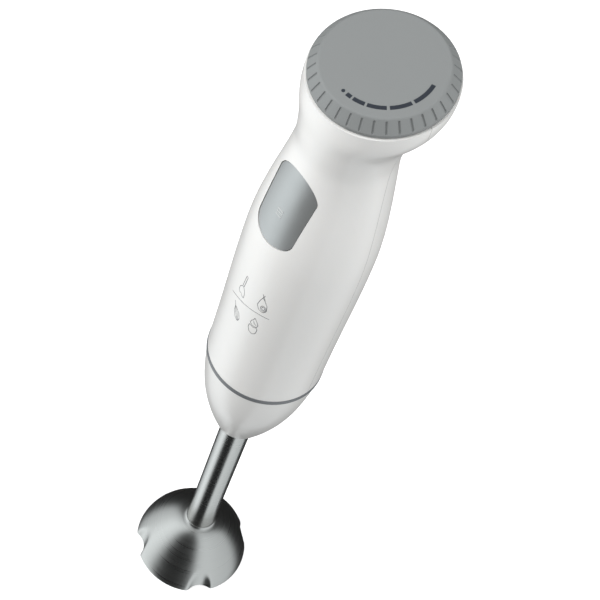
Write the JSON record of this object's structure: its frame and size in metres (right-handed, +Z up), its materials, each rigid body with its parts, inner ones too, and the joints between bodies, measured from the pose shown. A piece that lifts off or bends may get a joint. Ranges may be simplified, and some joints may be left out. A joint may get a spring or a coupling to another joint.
{
  "type": "immersion blender",
  "caption": "Hand-held immersion blender: white handle with a tilted ribbed speed dial and a front power button, and a twist-off foot with a steel tube and fluted blade guard.",
  "frame": {"origin": "on the drive axis in the plane of the blade guard's rim", "axes": "+Z up the drive axis to the head, -Y toward the button side, +X to the right seen from the front"},
  "size_m": [0.0646, 0.0649, 0.4053],
  "materials": {
    "white_shell": "satin moulded plastic",
    "dial_grey": "satin moulded plastic",
    "button_silver": "metallic lacquer",
    "trim_grey": "satin",
    "steel": "brushed stainless steel",
    "blade_steel": "ground stainless steel",
    "nylon": "glass filled nylon",
    "natural_plastic": "natural acetal",
    "rubber": "soft rubber",
    "plated_steel": "zinc plated steel",
    "ferrite": "sintered ferrite",
    "lamination": "stacked sheet steel",
    "copper": "enamelled copper wire",
    "brass": "stamped brass",
    "bronze": "sintered bronze",
    "carbon": "pressed carbon",
    "board": "glass fibre board",
    "component_blue": "film capacitor case",
    "alu": "extruded aluminium"
  },
  "bodies": {
    "motor_unit": {"front_housing": "white_shell", "rear_housing": "white_shell", "housing_screws": "plated_steel", "head_deck": "white_shell", "dial_sensor": "nylon", "sensor_nut": "plated_steel", "button_spring": "plated_steel", "button_guide": "natural_plastic", "microswitch": "nylon", "circuit_board": "board", "capacitor": "component_blue", "heat_sink": "alu", "cord_bush": "rubber", "trim_ring": "trim_grey", "bayonet_ring": "nylon", "motor_cradle": "nylon", "motor_can": "plated_steel", "lower_motor_mount": "rubber", "upper_motor_mount": "rubber", "magnets": "ferrite", "lower_bearing": "bronze", "motor_end_cap": "nylon", "upper_bearing": "bronze", "brush_tubes": "brass", "carbon_brushes": "carbon"},
    "rotor": {"armature_core": "lamination", "armature_windings": "copper", "commutator": "copper", "motor_shaft": "plated_steel", "cooling_fan": "natural_plastic", "motor_coupling": "nylon"},
    "dial": {"speed_dial": "dial_grey", "dial_spindle": "plated_steel"},
    "button": {"power_button": "button_silver"},
    "seal": {"socket_seal": "rubber"},
    "foot": {"foot_bell": "white_shell", "foot_carrier": "natural_plastic", "shaft_tube": "steel", "upper_bush": "bronze", "lower_bush": "bronze", "shaft_seal": "rubber", "blade_guard": "steel"},
    "drive": {"foot_coupling": "nylon", "drive_shaft": "plated_steel", "blade_hub": "blade_steel", "blade": "blade_steel", "blade_screw": "blade_steel"}
  },
  "joints": [
    {"name": "motor_spin", "type": "hinge", "parent": "motor_unit", "child": "rotor", "pos_m": [0, 0, 0.26], "axis": [0, 0, 1], "continuous": true},
    {"name": "dial_turn", "type": "hinge", "parent": "motor_unit", "child": "dial", "pos_m": [0, 0.0039, 0.3928], "axis": [0, -0.2706, 0.9627], "range_deg": [-105, 0]},
    {"name": "button_press", "type": "slide", "parent": "motor_unit", "child": "button", "axis": [0, 1, 0], "range_m": [0, 0.0018], "stiffness_N_per_m": 1200, "springref_m": -0.0006},
    {"name": "foot_twist", "type": "hinge", "parent": "motor_unit", "child": "seal", "pos_m": [0, 0, 0.2], "axis": [0, 0, 1], "range_deg": [0, 20]},
    {"name": "foot_pull", "type": "slide", "parent": "seal", "child": "foot", "axis": [0, 0, -1], "range_m": [0, 0.04]},
    {"name": "drive_spin", "type": "hinge", "parent": "foot", "child": "drive", "pos_m": [0, 0, 0.1], "axis": [0, 0, 1], "continuous": true}
  ],
  "couplings": [
    {"joint": "drive_spin", "follows": "motor_spin", "ratio": 1}
  ]
}
